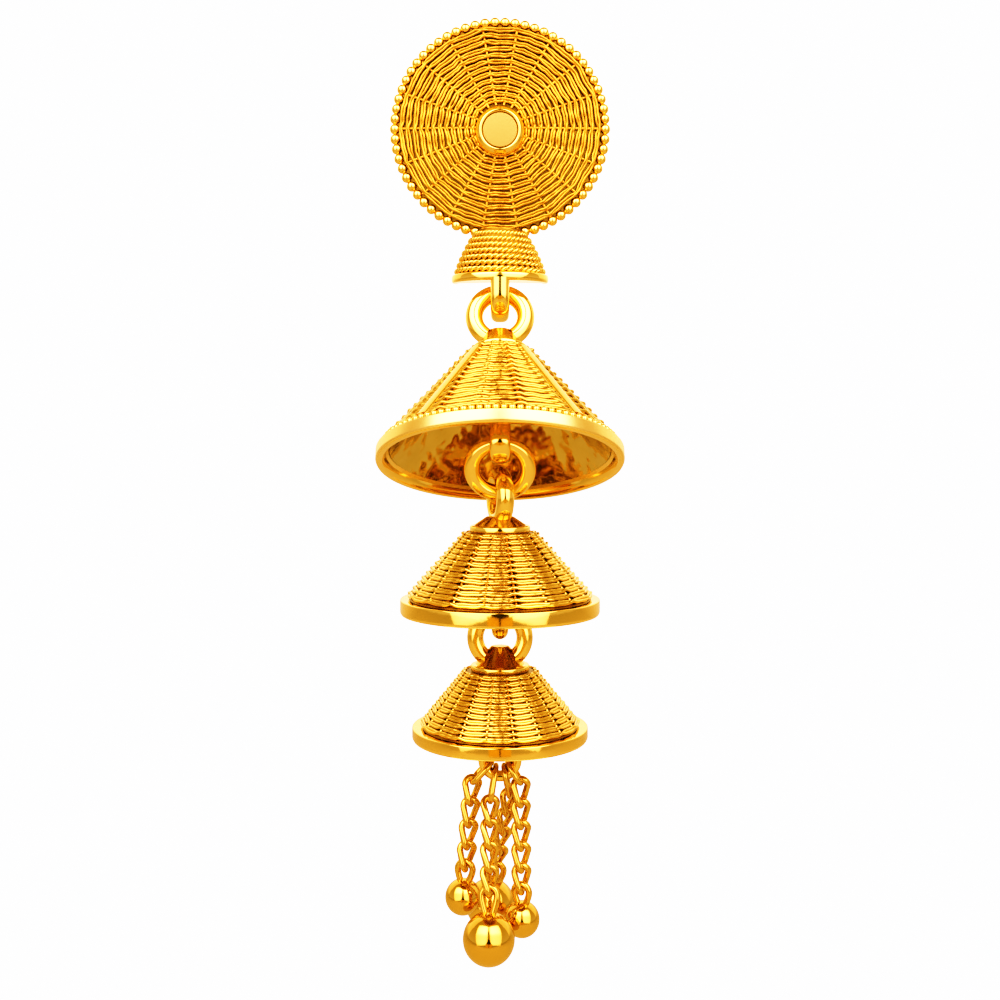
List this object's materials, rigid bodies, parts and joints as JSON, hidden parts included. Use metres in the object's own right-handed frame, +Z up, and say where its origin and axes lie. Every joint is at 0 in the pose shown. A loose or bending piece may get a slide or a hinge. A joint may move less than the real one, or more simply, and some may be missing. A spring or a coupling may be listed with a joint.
{
  "type": "jhumka earring",
  "caption": "Polished gold drop earring: a woven disc with a half bell, woven bells hung in tiers on rings, and a tassel of twisted chains with balls.",
  "frame": {"origin": "where the ear post meets the middle of the disc's back", "axes": "+Z up along the hanging earring, +Y back towards the ear, the disc's front faces -Y, +X to the right seen from the front"},
  "size_m": [0.016, 0.0247, 0.0626],
  "materials": {
    "woven_gold": "woven wire, bright gold plating",
    "polished_gold": "polished gold plating"
  },
  "bodies": {
    "stud": {"stud": "woven_gold", "ear_post": "polished_gold"},
    "upper_bell": {"upper_bell": "woven_gold"},
    "link_ring": {"link_ring": "polished_gold"},
    "middle_bell": {"middle_bell": "woven_gold"},
    "lower_bell": {"lower_bell": "woven_gold", "chain_left": "polished_gold", "chain_front": "polished_gold", "chain_back": "polished_gold", "chain_right": "polished_gold", "ball_left": "polished_gold", "ball_front": "polished_gold", "ball_back": "polished_gold", "ball_right": "polished_gold"}
  },
  "joints": [
    {"name": "upper_swing", "type": "hinge", "parent": "stud", "child": "upper_bell", "pos_m": [0, -0.00202, -0.01144], "axis": [1, 0, 0], "range_deg": [-10, 30]},
    {"name": "link_swing", "type": "hinge", "parent": "upper_bell", "child": "link_ring", "pos_m": [0, -0.0061, -0.02141], "axis": [1, 0, 0], "range_deg": [-50, 5]},
    {"name": "middle_swing", "type": "hinge", "parent": "link_ring", "child": "middle_bell", "pos_m": [0, -0.00468, -0.02484], "axis": [1, 0, 0], "range_deg": [-15, 24]},
    {"name": "lower_swing", "type": "hinge", "parent": "middle_bell", "child": "lower_bell", "pos_m": [0, -0.00502, -0.03278], "axis": [1, 0, 0], "range_deg": [-20, 20]}
  ]
}
